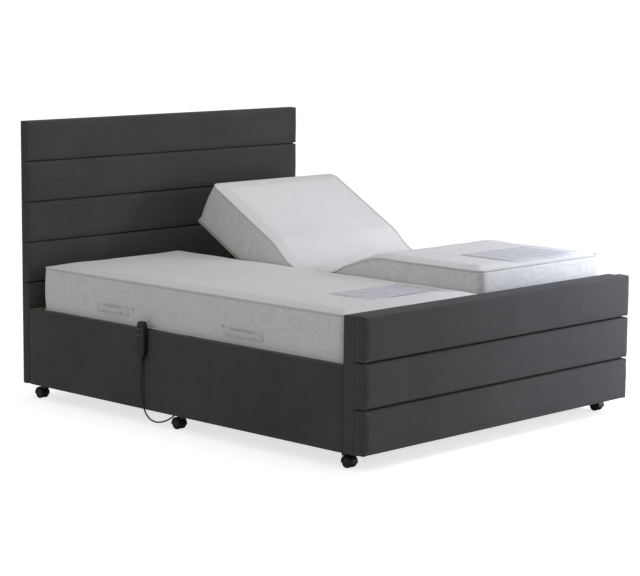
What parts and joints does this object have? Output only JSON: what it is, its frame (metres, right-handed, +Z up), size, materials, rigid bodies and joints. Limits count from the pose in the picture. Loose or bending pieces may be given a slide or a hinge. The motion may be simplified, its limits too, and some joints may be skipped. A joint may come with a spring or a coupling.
{
  "type": "adjustable bed base",
  "caption": "Dual electric adjustable divan bed with padded headboard and footboard, hinged decks, sectioned mattresses, castors and a corded handset.",
  "frame": {"origin": "on the floor under the centre of the footprint", "axes": "+Z up, +Y from the footboard to the headboard, +X towards the side with the raised deck"},
  "size_m": [1.8604, 2.265, 1.345],
  "materials": {
    "charcoal_fabric": "woven chenille, matt",
    "timber": "sawn softwood and board",
    "deck_board": "birch plywood, fine sanded",
    "mattress_ticking": "knitted ticking, soft sheen",
    "painted_steel": "black powder coat",
    "bright_steel": "zinc plated",
    "drive_plastic": "fine moulded texture",
    "castor_plastic": "moulded, semi-matt",
    "handset_plastic": "fine moulded texture",
    "key_rubber": "moulded silicone",
    "cord_sheath": "soft extruded sheath"
  },
  "bodies": {
    "root": {"headboard_core": "timber", "headboard_pads": "charcoal_fabric", "footboard_core": "timber", "footboard_pads": "charcoal_fabric", "head_box_frame": "timber", "foot_box_frame": "timber", "head_box_cover": "charcoal_fabric", "foot_box_cover": "charcoal_fabric", "steel_subframe": "painted_steel", "castor_plates": "bright_steel", "control_box": "drive_plastic", "handset_front": "handset_plastic", "handset_back": "handset_plastic", "handset_cord": "cord_sheath", "left_seat_board": "deck_board", "left_seat_mattress": "mattress_ticking", "left_back_drive": "drive_plastic", "left_leg_drive": "drive_plastic", "right_seat_board": "deck_board", "right_seat_mattress": "mattress_ticking", "right_back_drive": "drive_plastic", "right_leg_drive": "drive_plastic"},
    "left_back": {"left_back_board": "deck_board", "left_back_frame": "painted_steel", "left_back_mattress": "mattress_ticking"},
    "left_thigh": {"left_thigh_deck": "deck_board", "left_thigh_mattress": "mattress_ticking"},
    "left_calf": {"left_calf_deck": "deck_board", "left_calf_mattress": "mattress_ticking"},
    "left_back_lift_tube": {"left_back_lift": "painted_steel"},
    "left_back_rod": {"left_back_drive_rod": "bright_steel"},
    "left_leg_lift_tube": {"left_leg_lift": "painted_steel"},
    "left_leg_rod": {"left_leg_drive_rod": "bright_steel"},
    "right_back": {"right_back_board": "deck_board", "right_back_frame": "painted_steel", "right_back_mattress": "mattress_ticking"},
    "right_thigh": {"right_thigh_deck": "deck_board", "right_thigh_mattress": "mattress_ticking"},
    "right_calf": {"right_calf_deck": "deck_board", "right_calf_mattress": "mattress_ticking"},
    "right_back_lift_tube": {"right_back_lift": "painted_steel"},
    "right_back_rod": {"right_back_drive_rod": "bright_steel"},
    "right_leg_lift_tube": {"right_leg_lift": "painted_steel"},
    "right_leg_rod": {"right_leg_drive_rod": "bright_steel"},
    "castor_left_head_fork": {"castor_left_head_hood": "castor_plastic"},
    "castor_left_head_wheel_pair": {"castor_left_head_wheels": "castor_plastic"},
    "castor_left_mid_fork": {"castor_left_mid_hood": "castor_plastic"},
    "castor_left_mid_wheel_pair": {"castor_left_mid_wheels": "castor_plastic"},
    "castor_left_foot_fork": {"castor_left_foot_hood": "castor_plastic"},
    "castor_left_foot_wheel_pair": {"castor_left_foot_wheels": "castor_plastic"},
    "castor_right_head_fork": {"castor_right_head_hood": "castor_plastic"},
    "castor_right_head_wheel_pair": {"castor_right_head_wheels": "castor_plastic"},
    "castor_right_mid_fork": {"castor_right_mid_hood": "castor_plastic"},
    "castor_right_mid_wheel_pair": {"castor_right_mid_wheels": "castor_plastic"},
    "castor_right_foot_fork": {"castor_right_foot_hood": "castor_plastic"},
    "castor_right_foot_wheel_pair": {"castor_right_foot_wheels": "castor_plastic"},
    "back_up_key": {"handset_key_back_up": "key_rubber"},
    "back_down_key": {"handset_key_back_down": "key_rubber"},
    "legs_up_key": {"handset_key_legs_up": "key_rubber"},
    "legs_down_key": {"handset_key_legs_down": "key_rubber"}
  },
  "joints": [
    {"name": "left_back_hinge", "type": "hinge", "parent": "root", "child": "left_back", "pos_m": [-0.43375, 0.2175, 0.402], "axis": [1, 0, 0], "range_deg": [0, 60]},
    {"name": "left_thigh_hinge", "type": "hinge", "parent": "root", "child": "left_thigh", "pos_m": [-0.43375, -0.0525, 0.402], "axis": [-1, 0, 0], "range_deg": [0, 35]},
    {"name": "left_knee_hinge", "type": "hinge", "parent": "left_thigh", "child": "left_calf", "pos_m": [-0.43375, -0.3825, 0.402], "axis": [-1, 0, 0], "range_deg": [-35.01, 0.01]},
    {"name": "left_back_lift_turn", "type": "hinge", "parent": "root", "child": "left_back_lift_tube", "pos_m": [-0.43375, 0.1475, 0.362], "axis": [1, 0, 0], "range_deg": [-0.05, 46.82]},
    {"name": "left_back_rod_slide", "type": "slide", "parent": "root", "child": "left_back_rod", "axis": [0, 1, 0], "range_m": [-0.0001, 0.06929]},
    {"name": "left_leg_lift_turn", "type": "hinge", "parent": "root", "child": "left_leg_lift_tube", "pos_m": [-0.43375, 0.0175, 0.362], "axis": [-1, 0, 0], "range_deg": [-0.05, 23.19]},
    {"name": "left_leg_rod_slide", "type": "slide", "parent": "root", "child": "left_leg_rod", "axis": [0, -1, 0], "range_m": [-0.0001, 0.03286]},
    {"name": "right_back_hinge", "type": "hinge", "parent": "root", "child": "right_back", "pos_m": [0.46425, 0.2175, 0.402], "axis": [1, 0, 0], "range_deg": [-30, 30]},
    {"name": "right_thigh_hinge", "type": "hinge", "parent": "root", "child": "right_thigh", "pos_m": [0.46425, -0.0525, 0.402], "axis": [-1, 0, 0], "range_deg": [-17.5, 17.5]},
    {"name": "right_knee_hinge", "type": "hinge", "parent": "right_thigh", "child": "right_calf", "pos_m": [0.46425, -0.36723, 0.50123], "axis": [-1, 0, 0], "range_deg": [-17.51, 17.51]},
    {"name": "right_back_lift_turn", "type": "hinge", "parent": "root", "child": "right_back_lift_tube", "pos_m": [0.46425, 0.1475, 0.362], "axis": [1, 0, 0], "range_deg": [-23.44, 23.44]},
    {"name": "right_back_rod_slide", "type": "slide", "parent": "root", "child": "right_back_rod", "axis": [0, 1, 0], "range_m": [-0.0347, 0.0347]},
    {"name": "right_leg_lift_turn", "type": "hinge", "parent": "root", "child": "right_leg_lift_tube", "pos_m": [0.46425, 0.0175, 0.362], "axis": [-1, 0, 0], "range_deg": [-11.62, 11.62]},
    {"name": "right_leg_rod_slide", "type": "slide", "parent": "root", "child": "right_leg_rod", "axis": [0, -1, 0], "range_m": [-0.01648, 0.01648]},
    {"name": "castor_left_head_swivel", "type": "hinge", "parent": "root", "child": "castor_left_head_fork", "pos_m": [-0.84475, 1.032, 0.06], "axis": [0, 0, 1], "continuous": true},
    {"name": "castor_left_head_roll", "type": "hinge", "parent": "castor_left_head_fork", "child": "castor_left_head_wheel_pair", "pos_m": [-0.84475, 1.054, 0.025], "axis": [1, 0, 0], "continuous": true},
    {"name": "castor_left_mid_swivel", "type": "hinge", "parent": "root", "child": "castor_left_mid_fork", "pos_m": [-0.84475, 0.04, 0.06], "axis": [0, 0, 1], "continuous": true},
    {"name": "castor_left_mid_roll", "type": "hinge", "parent": "castor_left_mid_fork", "child": "castor_left_mid_wheel_pair", "pos_m": [-0.84475, 0.062, 0.025], "axis": [1, 0, 0], "continuous": true},
    {"name": "castor_left_foot_swivel", "type": "hinge", "parent": "root", "child": "castor_left_foot_fork", "pos_m": [-0.84475, -0.978, 0.06], "axis": [0, 0, 1], "continuous": true},
    {"name": "castor_left_foot_roll", "type": "hinge", "parent": "castor_left_foot_fork", "child": "castor_left_foot_wheel_pair", "pos_m": [-0.84475, -1, 0.025], "axis": [1, 0, 0], "continuous": true},
    {"name": "castor_right_head_swivel", "type": "hinge", "parent": "root", "child": "castor_right_head_fork", "pos_m": [0.87525, 1.032, 0.06], "axis": [0, 0, 1], "continuous": true},
    {"name": "castor_right_head_roll", "type": "hinge", "parent": "castor_right_head_fork", "child": "castor_right_head_wheel_pair", "pos_m": [0.87525, 1.054, 0.025], "axis": [1, 0, 0], "continuous": true},
    {"name": "castor_right_mid_swivel", "type": "hinge", "parent": "root", "child": "castor_right_mid_fork", "pos_m": [0.87525, 0.04, 0.06], "axis": [0, 0, 1], "continuous": true},
    {"name": "castor_right_mid_roll", "type": "hinge", "parent": "castor_right_mid_fork", "child": "castor_right_mid_wheel_pair", "pos_m": [0.87525, 0.062, 0.025], "axis": [1, 0, 0], "continuous": true},
    {"name": "castor_right_foot_swivel", "type": "hinge", "parent": "root", "child": "castor_right_foot_fork", "pos_m": [0.87525, -0.978, 0.06], "axis": [0, 0, 1], "continuous": true},
    {"name": "castor_right_foot_roll", "type": "hinge", "parent": "castor_right_foot_fork", "child": "castor_right_foot_wheel_pair", "pos_m": [0.87525, -1, 0.025], "axis": [1, 0, 0], "continuous": true},
    {"name": "back_up_press", "type": "slide", "parent": "root", "child": "back_up_key", "axis": [1, 0, 0], "range_m": [0, 0.001], "stiffness_N_per_m": 300},
    {"name": "back_down_press", "type": "slide", "parent": "root", "child": "back_down_key", "axis": [1, 0, 0], "range_m": [0, 0.001], "stiffness_N_per_m": 300},
    {"name": "legs_up_press", "type": "slide", "parent": "root", "child": "legs_up_key", "axis": [1, 0, 0], "range_m": [0, 0.001], "stiffness_N_per_m": 300},
    {"name": "legs_down_press", "type": "slide", "parent": "root", "child": "legs_down_key", "axis": [1, 0, 0], "range_m": [0, 0.001], "stiffness_N_per_m": 300}
  ],
  "couplings": [
    {"joint": "left_knee_hinge", "follows": "left_thigh_hinge", "ratio": -1},
    {"joint": "left_back_lift_turn", "follows": "left_back_hinge", "ratio": 0.77954},
    {"joint": "left_back_rod_slide", "follows": "left_back_hinge", "m_per_rad": 0.066074},
    {"joint": "left_leg_lift_turn", "follows": "left_thigh_hinge", "ratio": 0.66128},
    {"joint": "left_leg_rod_slide", "follows": "left_thigh_hinge", "m_per_rad": 0.053634},
    {"joint": "right_knee_hinge", "follows": "right_thigh_hinge", "ratio": -1},
    {"joint": "right_back_lift_turn", "follows": "right_back_hinge", "ratio": 0.77954},
    {"joint": "right_back_rod_slide", "follows": "right_back_hinge", "m_per_rad": 0.066074},
    {"joint": "right_leg_lift_turn", "follows": "right_thigh_hinge", "ratio": 0.66128},
    {"joint": "right_leg_rod_slide", "follows": "right_thigh_hinge", "m_per_rad": 0.053634}
  ]
}
